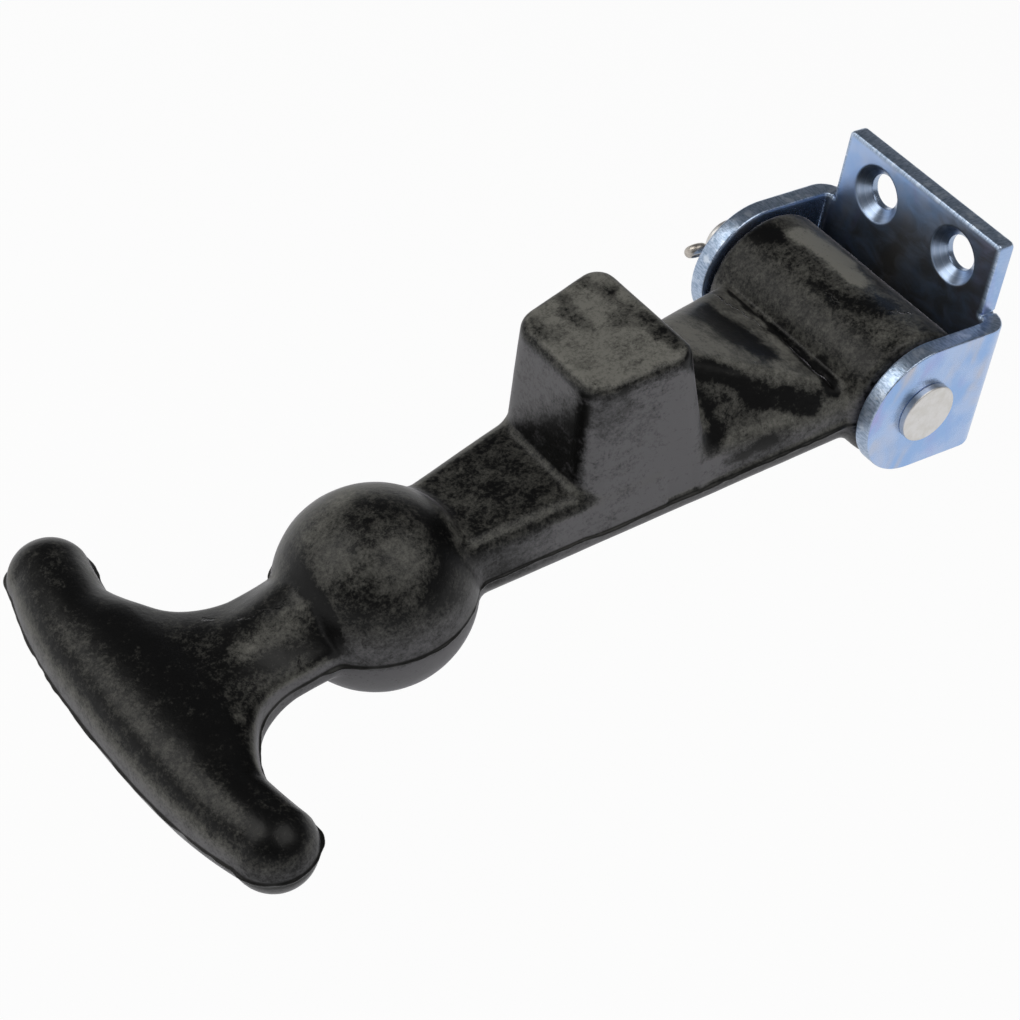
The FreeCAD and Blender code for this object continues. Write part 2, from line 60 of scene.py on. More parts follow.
def add_camera():
    """A long lens above the handle's near side, rolled a little, as in the photograph."""
    aim = Vector((-97.4, 0.0, -39.5)) * MM
    distance = 581.5 * MM
    azimuth = math.radians(-43.214)
    elevation = math.radians(39.22)
    roll = math.radians(10.986)
    back = Vector((math.sin(azimuth) * math.cos(elevation), -math.cos(azimuth) * math.cos(elevation),
                   math.sin(elevation)))
    level = Vector((math.cos(azimuth), math.sin(azimuth), 0))
    right = level * math.cos(roll) + back.cross(level) * math.sin(roll)
    turn = Matrix((right, back.cross(right), back)).transposed().to_4x4()
    camera = bpy.data.objects.new("camera", bpy.data.cameras.new("camera"))
    camera.data.lens = 107.46
    camera.matrix_world = Matrix.Translation(aim + back * distance) @ turn
    bpy.context.scene.collection.objects.link(camera)
    bpy.context.scene.camera = camera


# Shader maths

class Value:
    """A value in a material. Arithmetic on it adds Math nodes."""

    def __init__(self, maker, output):
        self.maker = maker
        self.output = output

    def math(self, operation, first, second=0.0):
        return self.maker.add("ShaderNodeMath", {"operation": operation}, {0: first, 1: second})

    def __add__(self, other):
        return self.math("ADD", self, other)

    def __sub__(self, other):
        return self.math("SUBTRACT", self, other)

    def __rsub__(self, other):
        return self.math("SUBTRACT", other, self)

    def __mul__(self, other):
        return self.math("MULTIPLY", self, other)

    def __truediv__(self, other):
        return self.math("DIVIDE", self, other)

    def __abs__(self):
        return self.math("ABSOLUTE", self)

    def larger(self, other):
        return self.math("MAXIMUM", self, other)

    def rises(self, low, high):
        """0 at low and 1 at high, smooth between and level beyond. It falls where low is above high."""
        start, stop, first, last = (low, high, 0.0, 1.0) if low < high else (high, low, 1.0, 0.0)
        return self.maker.add("ShaderNodeMapRange", {"interpolation_type": "SMOOTHSTEP"},
                              {0: self, 1: start, 2: stop, 3: first, 4: last})

    def ranges(self, start, stop):
        """Stretches 0..1 to start..stop."""
        return self * (stop - start) + start


class Maker:
    """Adds nodes to a new material or world."""

    def __init__(self, owner):
        owner.use_nodes = True
        self.material = owner
        self.nodes = owner.node_tree.nodes
        self.links = owner.node_tree.links
        self.shader = self.nodes.get("Principled BSDF")

    def add(self, kind, settings=None, inputs=None, output=0):
        node = self.nodes.new(kind)
        for name, setting in (settings or {}).items():
            setattr(node, name, setting)
        for socket, value in (inputs or {}).items():
            self.plug(node.inputs[socket], value)
        return Value(self, node.outputs[output])

    def plug(self, socket, value):
        if isinstance(value, Value):
            self.links.new(value.output, socket)
        else:
            socket.default_value = value

    def set(self, **values):
        """Sets the shader's sockets; base_color= sets Base Color."""
        for name, value in values.items():
            self.plug(self.shader.inputs[name.replace("_", " ").title().replace("Ior", "IOR")], value)

    def place(self):
        """The surface point in the object's own frame, in millimetres."""
        return self.scaled(self.add("ShaderNodeTexCoord", output="Object"), 1 / MM)

    def facing(self):
        """The surface normal in the object's own frame."""
        return self.add("ShaderNodeTexCoord", output="Normal")

    def in_frame(self, vector, origin, turn):
        """A vector as seen from a frame with that origin, turned about Y."""
        return self.add("ShaderNodeMapping", {"vector_type": "TEXTURE"},
                        {"Vector": vector, "Location": origin, "Rotation": (0.0, turn, 0.0)})

    def vector(self, operation, first, second, output=0):
        return self.add("ShaderNodeVectorMath", {"operation": operation}, {0: first, 1: second}, output)

    def line(self, point, start, stop, half_width):
        """1 along a straight line between two places, falling to 0 at a half width beside it."""
        start = Vector(start)
        run = Vector(stop) - start
        from_start = self.vector("SUBTRACT", point, start)
        share = self.vector("DOT_PRODUCT", from_start, run / run.length_squared, output="Value")
        share = self.add("ShaderNodeClamp", None, {0: share})
        on_line = self.scaled(tuple(run), share)
        beside = self.vector("DISTANCE", from_start, on_line, output="Value")
        return beside.rises(half_width, half_width * 0.25)

    def part(self, vector, axis):
        return self.add("ShaderNodeSeparateXYZ", None, {0: vector}, output=axis)

    def join(self, x, y, z):
        return self.add("ShaderNodeCombineXYZ", None, {0: x, 1: y, 2: z})

    def attribute(self, name):
        """A value kept on the mesh's points."""
        return self.add("ShaderNodeAttribute", {"attribute_name": name}, output="Fac")

    def scaled(self, vector, factor):
        return self.add("ShaderNodeVectorMath", {"operation": "SCALE"}, {0: vector, "Scale": factor})

    def stretched(self, point, factors):
        return self.vector("MULTIPLY", point, factors)

    def noise(self, point, size, detail=3.0, roughness=0.55, distortion=0.0, output_colour=False):
        """Cloudy noise, 0..1, with features of a size in millimetres. Its colour holds three of them."""
        return self.add("ShaderNodeTexNoise", {"noise_dimensions": "3D"},
                        {"Vector": point, "Scale": 1.0 / size, "Detail": detail, "Roughness": roughness,
                         "Distortion": distortion}, output="Color" if output_colour else 0)

    def colour(self, mask, low, high):
        """A colour that goes from low to high with the mask."""
        ends = [end if isinstance(end, Value) else (*end, 1.0) for end in (low, high)]
        return self.add("ShaderNodeMix", {"data_type": "RGBA"},
                        {"Factor": mask, "A": ends[0], "B": ends[1]}, output="Result")

    def bump(self, height, depth, under=None):
        """Bumps of a depth in millimetres, over those of another bump."""
        inputs = {"Height": height, "Distance": depth * MM}
        if under is not None:
            inputs["Normal"] = under
        return self.add("ShaderNodeBump", None, inputs)


# Meshes

def mesh_object(name, points, faces, values=None):
    """A smooth mesh from points in millimetres. values holds numbers that its points carry."""
    mesh = bpy.data.meshes.new(name)
    places = (np.asarray(points, dtype=float) * MM).tolist()
    mesh.from_pydata(places, [], [list(map(int, face)) for face in faces])
    mesh.polygons.foreach_set("use_smooth", [True] * len(mesh.polygons))
    for key, numbers in (values or {}).items():
        mesh.attributes.new(key, "FLOAT", "POINT").data.foreach_set("value", numbers)
    mesh.update()
    thing = bpy.data.objects.new(name, mesh)
    bpy.context.scene.collection.objects.link(thing)
    return thing


def keep_flats_flat(thing):
    """Weighs the normals by area, so that only the rounded edges shade round."""
    weigh = thing.modifiers.new("flats", "WEIGHTED_NORMAL")
    weigh.weight = 100
    weigh.keep_sharp = True
    apply_modifiers(thing)


def turn_faces_out(thing):
    loose = bmesh.new()
    loose.from_mesh(thing.data)
    bmesh.ops.recalc_face_normals(loose, faces=loose.faces)
    loose.to_mesh(thing.data)
    loose.free()


def apply_modifiers(thing):
    graph = bpy.context.evaluated_depsgraph_get()
    shaped = bpy.data.meshes.new_from_object(thing.evaluated_get(graph), depsgraph=graph)
    thing.modifiers.clear()
    thing.data = shaped


def dress(thing, material, body, node):
    """Gives a piece its material and body, and hides the imported node that it stands for."""
    thing.data.materials.append(material)
    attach(thing, body)
    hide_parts(node)


def quads_between(rings, count, start=0):
    """Quads between rings of a count of points, numbered from start."""
    faces = []
    for ring in range(rings - 1):
        for i in range(count):
            one = start + ring * count + i
            two = start + ring * count + (i + 1) % count
            faces.append([one, two, two + count, one + count])
    return faces


def arc(centre, radius, start, stop, steps):
    """Points of an arc between two angles in degrees, both ends included."""
    turns = [math.radians(start + (stop - start) * i / steps) for i in range(steps + 1)]
    return [(centre[0] + radius * math.cos(turn), centre[1] + radius * math.sin(turn)) for turn in turns]


# Pull: distances in millimetres to its lumps, negative inside the rubber

BALL_X = -111.0
BALL_RADIUS = 19.7
BARREL_RADIUS = 14.3
BARREL_HALF = 22.8
BARREL_EDGE = 1.7
BORE_RADIUS = 4.8
BORE_EDGE = 0.5
DRAFT = math.tan(math.radians(3.5))
STRAP_ROOT_HALF = 23.4
STRAP_END_HALF = 9.8
STRAP_RISE = 10.0
STRAP_DROP = 6.5
STRAP_TOP_EDGE = 3.8
STRAP_LOW_EDGE = 5.2
STRAP_INSET = 7.0
STRAP_TOP_END = -55.0
BLOCK_FRONT = -73.8
BLOCK_BACK = -43.6
BLOCK_RISE = 34.4
BLOCK_FRONT_SLOPE = math.radians(8.6)
BLOCK_BACK_SLOPE = math.radians(3.7)
BLOCK_UPRIGHT_EDGE = 4.8
BLOCK_TOP_EDGE = 1.8
RAMP_START = -10.0
RAMP_STOP = -46.9
RAMP_RISES = (5.4, 26.0)
RAMP_TOP_HALVES = (20.3, 2.5)
RAMP_SHOULDERS = (0.8, 8.0)
RAMP_EDGE = 2.2
RAMP_SIDE_EDGE = 1.2
RAMP_INSET = 8.0
RAMP_END = -47.5
HANDLE_X = -162.25
HANDLE_SWEEP = 3.55
HANDLE_BOW = 3.0
HANDLE_HALF = 39.0
HANDLE_RADIUS = 9.35
HANDLE_END_RADIUS = 8.2
NECK_HALF = 11.8
NECK_RISE = 7.9
NECK_TOP_EDGE = 7.0
NECK_SIDE_EDGE = 1.5
NECK_FLARE = 16.9
NECK_WALL = 3.5
NECK_WALL_GAIN = 4.2
NECK_SINK = 4.5
NECK_SINK_ROUND = 5.0
NECK_FADE_START = 5.2
NECK_FADE_RUN = 8.0
NECK_FADE_DEPTH = 4.0
NECK_MELT = 8.7
NECK_ROOT_RADIUS = 14.7
NECK_ROOT_TAPER = 0.25
NECK_ROOT_SLOPE = 0.96
NECK_ROOT_LENGTH = 32.0
NECK_ROOT_MELT = 2.5
# Hollow radii in the creases where a lump meets the ones before it.
RAMP_CREASE = 0.7
BLOCK_CREASE = 1.4
STRAP_CREASE = 1.6
BALL_CREASE = 0.6
GRIP_CREASE = 1.5
# The slot where the ramp's near end stands off the barrel: places along it, each with its half width.
SLOT = (((-13.9, -1.5, 7.6), 0.3), ((-14.6, -13.0, 7.5), 1.0), ((-14.5, -19.8, 7.4), 0.15))
SLOT_EDGE = 0.3


def rounded(first, second, radius):
    """Where both hold, with the edge between them rounded."""
    inside = np.minimum(np.maximum(first, second), -radius)
    return inside + np.hypot(np.maximum(first + radius, 0), np.maximum(second + radius, 0))


def joined(first, second, radius):
    """Where either holds, with the crease between them filled to a hollow radius."""
    outside = np.maximum(np.minimum(first, second), radius)
    return outside - np.hypot(np.maximum(radius - first, 0), np.maximum(radius - second, 0))


def melted(first, second, reach):
    """Where either holds, run softly into each other where they are within a reach."""
    share = np.maximum(reach - np.abs(first - second), 0) / reach
    return np.minimum(first, second) - share * share * reach / 4


def away(points, path):
    """Distances to a path of straight runs, or to its only place."""
    path = np.array(path, dtype=float)
    best = np.full(len(points), np.inf)
    for start, stop in zip(path, path[1:] if len(path) > 1 else path):
        run = stop - start
        share = np.clip((points - start) @ run / max(run @ run, 1e-9), 0, 1)
        best = np.minimum(best, np.linalg.norm(points - start - share[:, None] * run, axis=1))
    return best


def strap_half(x):
    """Half the strap's width on the parting plane."""
    return STRAP_ROOT_HALF + (STRAP_ROOT_HALF - STRAP_END_HALF) / -BALL_X * x


def between(ends, share):
    return ends[0] + (ends[1] - ends[0]) * share


def barrel(x, y, z):
    return rounded(np.hypot(x, z) - BARREL_RADIUS, np.abs(y) - BARREL_HALF, BARREL_EDGE)


def strap(x, y, z):
    """The tapering strap: its lower half all the way, its upper half from the ball into the block."""
    side = np.abs(y) - strap_half(x) + np.abs(z) * DRAFT
    upper = np.maximum(rounded(side, z - STRAP_RISE, STRAP_TOP_EDGE), x - STRAP_TOP_END)
    lower = rounded(side, -z - STRAP_DROP, STRAP_LOW_EDGE)
    above_lower = np.where(z > 0, np.hypot(z, np.maximum(side, 0)), lower)
    body = np.where(x > STRAP_TOP_END, above_lower, np.where(z > 0, upper, lower))
    return np.maximum(body, np.maximum(x + STRAP_INSET, BALL_X - x))


def block(x, y, z):
    """The tapered block, its sides flush with the strap's."""
    front = (BLOCK_FRONT + z * math.tan(BLOCK_FRONT_SLOPE) - x) * math.cos(BLOCK_FRONT_SLOPE)
    back = (x - BLOCK_BACK + z * math.tan(BLOCK_BACK_SLOPE)) * math.cos(BLOCK_BACK_SLOPE)
    side = np.abs(y) - strap_half(x) + z * DRAFT
    walls = rounded(np.maximum(front, back), side, BLOCK_UPRIGHT_EDGE)
    return np.maximum(rounded(walls, z - BLOCK_RISE, BLOCK_TOP_EDGE), -z)


def ramp(x, y, z):
    """The buttress from the barrel to the block: a ridge that narrows as it rises."""
    share = np.clip((RAMP_START - x) / (RAMP_START - RAMP_STOP), -0.2, 1.1)
    rise = between(RAMP_RISES, share)
    top_half = between(RAMP_TOP_HALVES, share)
    shoulder = between(RAMP_SHOULDERS, share)
    foot_half = strap_half(x) - shoulder * DRAFT
    slope = math.hypot(1, (RAMP_RISES[1] - RAMP_RISES[0]) / (RAMP_START - RAMP_STOP))
    run = foot_half - top_half
    fall = rise - shoulder
    flank = ((np.abs(y) - top_half) * fall + (z - rise) * run) / np.hypot(run, fall)
    side = np.abs(y) - strap_half(x) + z * DRAFT
    body = rounded(rounded((z - rise) / slope, flank, RAMP_EDGE), side, RAMP_SIDE_EDGE)
    return np.maximum(np.maximum(body, -z), np.maximum(x + RAMP_INSET, RAMP_END - x))


def ball(x, y, z):
    return np.sqrt((x - BALL_X) ** 2 + y ** 2 + z ** 2) - BALL_RADIUS


def neck(x, y, z):
    """The bevelled neck, flaring in plan into the handle."""
    bar_face = HANDLE_X + HANDLE_RADIUS
    flare_x = bar_face + NECK_FLARE
    flare_y = NECK_HALF + NECK_FLARE
    beside = np.abs(y)
    hollow = NECK_FLARE - np.hypot(x - flare_x, beside - flare_y)
    plan = np.where((x < flare_x) & (beside < flare_y), hollow, beside - NECK_HALF)
    plan = np.where((x < flare_x) & (beside >= flare_y), x - bar_face, plan)
    wall = NECK_WALL + NECK_WALL_GAIN * np.clip((flare_x - x) / NECK_FLARE, 0, 1)
    bevel = (plan + np.abs(z) - wall) / math.sqrt(2)
    section = rounded(rounded(bevel, np.abs(z) - NECK_RISE, NECK_TOP_EDGE), plan, NECK_SIDE_EDGE)
    section = rounded(section, HANDLE_X + NECK_SINK - x, NECK_SINK_ROUND)
    fade = np.clip((beside - NECK_HALF - NECK_FADE_START) / NECK_FADE_RUN, 0, None)
    return np.maximum(section + NECK_FADE_DEPTH * fade * fade, x - BALL_X)


def neck_root(x, y, z):
    """The round root by which the neck rises into the ball."""
    radius = NECK_ROOT_RADIUS - NECK_ROOT_TAPER * (BALL_X - x)
    ends = np.maximum(x - BALL_X, BALL_X - NECK_ROOT_LENGTH - x)
    return np.maximum((np.hypot(y, z) - radius) * NECK_ROOT_SLOPE, ends)


def handle(x, y, z):
    """The bar: a row of balls that get smaller towards its swept ends."""
    out = np.clip(y, -HANDLE_HALF, HANDLE_HALF)
    share = np.abs(out / HANDLE_HALF)
    radius = between((HANDLE_RADIUS, HANDLE_END_RADIUS), share ** 2)
    sweep = HANDLE_SWEEP * share ** HANDLE_BOW
    return np.sqrt((x - HANDLE_X - sweep) ** 2 + (y - out) ** 2 + z ** 2) - radius


def ramp_slot(x, y, z):
    """The slot's path as a round bar that grows and thins with its half widths."""
    nearest = np.inf
    for (start, first), (stop, last) in zip(SLOT, SLOT[1:]):
        run = np.subtract(stop, start)
        gaps = (x - start[0], y - start[1], z - start[2])
        share = np.clip(sum(gap * length for gap, length in zip(gaps, run)) / (run @ run), 0, 1)
        beside = np.sqrt(sum((gap - share * length) ** 2 for gap, length in zip(gaps, run)))
        nearest = np.minimum(nearest, beside - between((first, last), share))
    return nearest


def pull_distance(x, y, z):
    """The whole moulding: its lumps run together, then the slot and the bore cut out."""
    body = joined(barrel(x, y, z), ramp(x, y, z), RAMP_CREASE)
    body = joined(body, block(x, y, z), BLOCK_CREASE)
    body = joined(body, strap(x, y, z), STRAP_CREASE)
    body = rounded(body, -ramp_slot(x, y, z), SLOT_EDGE)
    grip = melted(neck(x, y, z), handle(x, y, z), NECK_MELT)
    grip = melted(grip, neck_root(x, y, z), NECK_ROOT_MELT)
    grip = joined(grip, ball(x, y, z), BALL_CREASE)
    body = joined(body, grip, GRIP_CREASE)
    return rounded(body, BORE_RADIUS - np.hypot(x, z), BORE_EDGE)


# Pull: mesh

def surface_net(distance, xs, ys, zs):
    """Points and quads of the zero surface of distance, on a grid whose spacing may vary."""
    grid = distance(xs[:, None, None], ys[None, :, None], zs[None, None, :])
    shape = np.array(grid.shape)
    lines = (xs, ys, zs)
    total = np.zeros(tuple(shape - 1) + (3,))
    count = np.zeros(tuple(shape - 1))
    crossings = []
    for axis in range(3):
        near, far = (np.take(grid, range(i, shape[axis] - 1 + i), axis) for i in (0, 1))
        crossed = (near < 0) != (far < 0)
        cells = np.argwhere(crossed)
        near = near[crossed]
        share = near / (near - far[crossed])
        point = np.stack([lines[k][cells[:, k]] for k in range(3)], axis=1)
        point[:, axis] += share * np.diff(lines[axis])[cells[:, axis]]
        crossings.append((axis, cells, near < 0))
        side_a, side_b = (k for k in range(3) if k != axis)
        for back_a, back_b in np.ndindex(2, 2):
            cell = cells.copy()
            cell[:, side_a] -= back_a
            cell[:, side_b] -= back_b
            fits = np.all((cell >= 0) & (cell < shape - 1), axis=1)
            np.add.at(total, tuple(cell[fits].T), point[fits])
            np.add.at(count, tuple(cell[fits].T), 1)
    used = count > 0
    number = np.full(count.shape, -1)
    number[used] = np.arange(used.sum())
    quads = []
    for axis, cells, leaves in crossings:
        side_a = (axis + 1) % 3
        side_b = (axis + 2) % 3
        corners = []
        for back_a, back_b in ((1, 1), (0, 1), (0, 0), (1, 0)):
            cell = cells.copy()
            cell[:, side_a] -= back_a
            cell[:, side_b] -= back_b
            corners.append(number[tuple(cell.T)])
        face = np.stack(corners, axis=1)
        face[~leaves] = face[~leaves][:, ::-1]
        quads.append(face)
    return total[used] / count[used][:, None], np.concatenate(quads)


def slopes(distance, points, step=0.05):
    """How fast a distance grows along each axis: the outward direction at the surface."""
    found = []
    for axis in range(3):
        shift = np.zeros(3)
        shift[axis] = step
        found.append((distance(*(points + shift).T) - distance(*(points - shift).T)) / (2 * step))
    return np.stack(found, axis=1)


def settle(distance, points, rounds=3):
    """Moves points onto the zero surface."""
    longest_move = 0.6
    least_slope = 0.2
    for _ in range(rounds):
        slope = slopes(distance, points)
        reach = np.clip(distance(*points.T), -longest_move, longest_move)[:, None]
        points = points - reach * slope / np.maximum((slope ** 2).sum(axis=1), least_slope)[:, None]
    return points


# What scatters the noise's values: a factor for each axis, one for the seed, and two that mix.
LATTICE_FACTORS = (73856093, 19349663, 83492791)
SEED_FACTOR = 7919
MIX_FACTORS = (1103515245, 69069)


def scattered(cells, seed):
    """A value from -1 to 1 for each cell, the same each time."""
    code = np.bitwise_xor.reduce(cells * np.array(LATTICE_FACTORS), axis=1)
    code = (code + seed * SEED_FACTOR) * MIX_FACTORS[0] + 12345
    code = (code ^ (code >> 15)) * MIX_FACTORS[1]
    return (code >> 8) % 65536 / 32767.5 - 1


def lattice_noise(points, size, seed):
    """Smooth noise, -1..1, with bumps of a size."""
    scaled = points / size
    base = np.floor(scaled).astype(np.int64)
    share = scaled - base
    share = share * share * (3 - 2 * share)
    total = np.zeros(len(points))
    for corner in np.ndindex(2, 2, 2):
        weight = np.prod(np.where(np.array(corner) == 1, share, 1 - share), axis=1)
        total += scattered(base + corner, seed) * weight
    return total


def spaced(low, high, step):
    return np.linspace(low, high, int(round((high - low) / step)) + 1)


GRID_STEP = 0.85
# The grid's ends in x, y and z, a little past the moulding.
GRID_BOX = ((-174, 17), (-51, 51), (-22, 37))
FLASH_ZONE = 2.2
FLASH_LAYERS = (0.07, 0.2, 0.34, 0.5, 0.75, 1.1, 1.6)
FLASH_HALF = 0.3
# The shallow groove under the flash: its depth as a share of the flash, its place and its half width.
GROOVE = (0.22, -0.85, 0.35)


def pull_grid(step):
    """Grid lines along x, y and z, close together beside the parting plane, where the flash stands."""
    near = np.array(FLASH_LAYERS)
    along, across, (bottom, top) = GRID_BOX
    below = spaced(bottom, -FLASH_ZONE, step)
    above = spaced(FLASH_ZONE, top, step)
    return spaced(*along, step), spaced(*across, step), np.concatenate([below, -near[::-1], near, above])


# Where the flash was left standing higher or torn off lower: x, y, half length, and what it adds.
FLASH_TABS = ((-150.7, 36.1, 2.3, 0.5), (-164.9, 44.0, 2.4, 0.4), (-151.2, -42.8, 2.2, 0.45),
              (-124.7, 15.9, 2.8, 0.6), (-166.4, 33.0, 1.6, -0.35), (-169.0, 21.0, 1.2, -0.3),
              (-168.5, -26.0, 2.0, -0.3), (-127.5, -12.0, 2.5, 0.45))


def flash_height(points):
    """How far the mould's flash stands out along the parting line. It is torn off unevenly."""
    flat = points * np.array([1, 1, 0])
    ragged = 0.36 + 0.15 * lattice_noise(flat, 4.2, 5) + 0.14 * lattice_noise(flat, 1.7, 8)
    for x, y, length, height in FLASH_TABS:
        off = np.hypot(points[:, 0] - x, points[:, 1] - y) / length
        ragged += height * np.exp(-off ** 4)
    # Between the ears it is trimmed off.
    in_jaw = (points[:, 0] > -16) & (np.abs(points[:, 1]) > 20)
    return np.where(in_jaw, 0.08, np.maximum(ragged, 0.06))


# Pull: how much grey coat each point has, from 0 where the rubber is bare to 1 where the coat is full;
# painted highlights, sheen and shade are added to it

def rise(value, low, high):
    """Does for arrays what Value.rises does in a material."""
    share = np.clip((value - low) / (high - low), 0, 1)
    return share * share * (3 - 2 * share)


# Marks on the grey level, some of them painted highlights, sheen and shade: reach beside a path,
# what it adds or takes off, and the path in the pull's frame.
# Soft marks fade out slowly. Ragged marks have ragged edges.
SOFT_MARKS = (
    # Ball: two painted highlights, the painted dark ring beside them, pale smears low on the near side and by
    # the strap, painted sheen on the far top, and painted shade in the crease to the neck.
    (10, 0.26, (-121, -3.9, 16.6)),
    (10.5, 0.32, (-110, -10.4, 16.7)),
    (5, -0.2, (-99.4, -4, 15), (-103.4, -13.2, 12.7), (-108, -17, 9.5)),
    (5.6, 0.2, (-124, -13.4, 6.4), (-117, -17, 6.2), (-108.5, -18.6, 5)),
    (6, 0.4, (-121, 5, 17.2), (-111, 8, 18), (-100, 8, 15)),
    (4, 0.28, (-96.5, -3, 13), (-97, -9, 11)),
    (2.8, -0.9, (-125.7, 2.5, 13.2), (-126.3, -4.8, 11.5), (-126.7, -9.5, 7.7), (-127.3, -12.2, 3.7)),
    # Neck: a painted highlight on its crest, the smudges below that, and the near side of its flare.
    (4.6, 0.44, (-142, -4.3, 7.5), (-135, -4.4, 8.2), (-128.6, -3.8, 10)),
    (3.5, 0.22, (-142, -10.8, 4.6), (-133.5, -10.8, 3.8)),
    (2.6, -0.4, (-139.8, -7.7, 5.7), (-136.2, -7.9, 6.1)),
    (4.5, 0.22, (-150.5, -14.5, 5.5), (-146, -11, 5.3)),
    # Handle: a painted highlight along its crest, the bare side towards the neck, and the near tip.
    (3.6, 0.18, (-165.8, 20, 8), (-165.8, 8, 8.8), (-165.6, -14, 8.7), (-164.2, -25.4, 9),
     (-162.9, -36, 7.5)),
    (7.5, -0.24, (-157.5, 24, 8.3), (-156, 3, 9.3), (-156.5, -14, 9.2), (-157.5, -27, 8.3)),
    (6, -0.08, (-159.5, -38, 8), (-161, -42, 6)),
)
RAGGED_MARKS = (
    # Block: smears on its top, and its near side, darker at the front's upper corner and paler behind.
    (2.4, -0.5, (-57.9, 11.6, 34.4), (-58.7, 3.2, 34.4)),
    (2, -0.6, (-49.3, 7.9, 34.4)),
    (3.4, -0.42, (-52.8, 0.6, 34.4), (-49.6, -2.8, 34.4)),
    (2.8, -0.62, (-49.4, -7, 34.4), (-48, -10.5, 34.4)),
    (3.2, -0.4, (-66, 8.6, 34.4), (-65, 4.4, 34.4)),
    (1.8, -0.4, (-52, 12.5, 34.4), (-46.4, -8, 34.4)),
    (4.5, -0.25, (-67.5, -13.2, 28.5), (-63, -14.6, 29.5)),
    (7, -0.26, (-67, -13.8, 28), (-61, -14.8, 25)),
    (9, 0.4, (-47.5, -15, 22), (-48.5, -17.5, 8), (-56, -17.5, 6)),
    # Ramp: its pale top, the bare oval below that, a dark band along its upper near edge, painted shade
    # beside the block, and on its near side a painted highlight along the edge over a painted dark
    # reflection.
    (6, 0.36, (-37.5, 5, 20.4), (-34.5, -3.5, 19.2)),
    (6.2, -0.62, (-26.5, 8, 14.6), (-24.4, -0.5, 13.5), (-22.5, -4.5, 12.4)),
    (3, 0.26, (-24.5, -13, 12), (-19.5, -9, 10.4), (-17.5, -2, 9.4)),
    (2.9, -0.85, (-47.9, -14.6, 32.1), (-40, -7.6, 21.6), (-36, -8.9, 18.3), (-32.4, -12.1, 14.5),
     (-28.7, -15.2, 10.6), (-20.5, -18.1, 6.9)),
    # Painted shade beside the block.
    (5, -0.75, (-44.2, -12, 17), (-44.6, -15.8, 9)),
    # A painted highlight along the near side's edge, then a painted dark reflection under it.
    (1.7, 0.34, (-46, -17.2, 7.9), (-36.8, -17.8, 7.2), (-26.2, -18.6, 6.1)),
    (1.6, -0.5, (-42, -18.3, 4.6), (-31, -19.3, 3.6)),
    (5, 0.3, (-24, -20, 4), (-14, -21, 3)),
    # Barrel: a pale stretch on top that is a painted reflection, the bare oval before it, smudges, and
    # painted shade in the crease to the ramp.
    (3.9, 1, (3.4, 14.6, 13.9), (4.8, 8, 13.5), (4, -1.6, 13.8)),
    (4, 0.16, (-2, -17, 14.2), (2, -20, 14)),
    (3.4, -0.3, (-2.6, 20, 14), (1.4, 15.2, 14.3)),
    (3.4, -0.24, (-1, -8.4, 14.2), (3, -12, 14)),
    (3.2, -0.16, (-6.9, -17.4, 12.5)),
    (2.4, -0.22, (-3.5, 1.5, 13.9), (-3.6, -4, 13.8)),
    # Painted shade in the crease to the ramp.
    (1.5, -0.6, (-14.6, 16, 8.2), (-13.4, 2, 7.6)),
    (2.5, -0.95, (-13.4, 2, 7.6), (-13.8, -6, 7.6), (-14.6, -17.4, 7.4)),
)


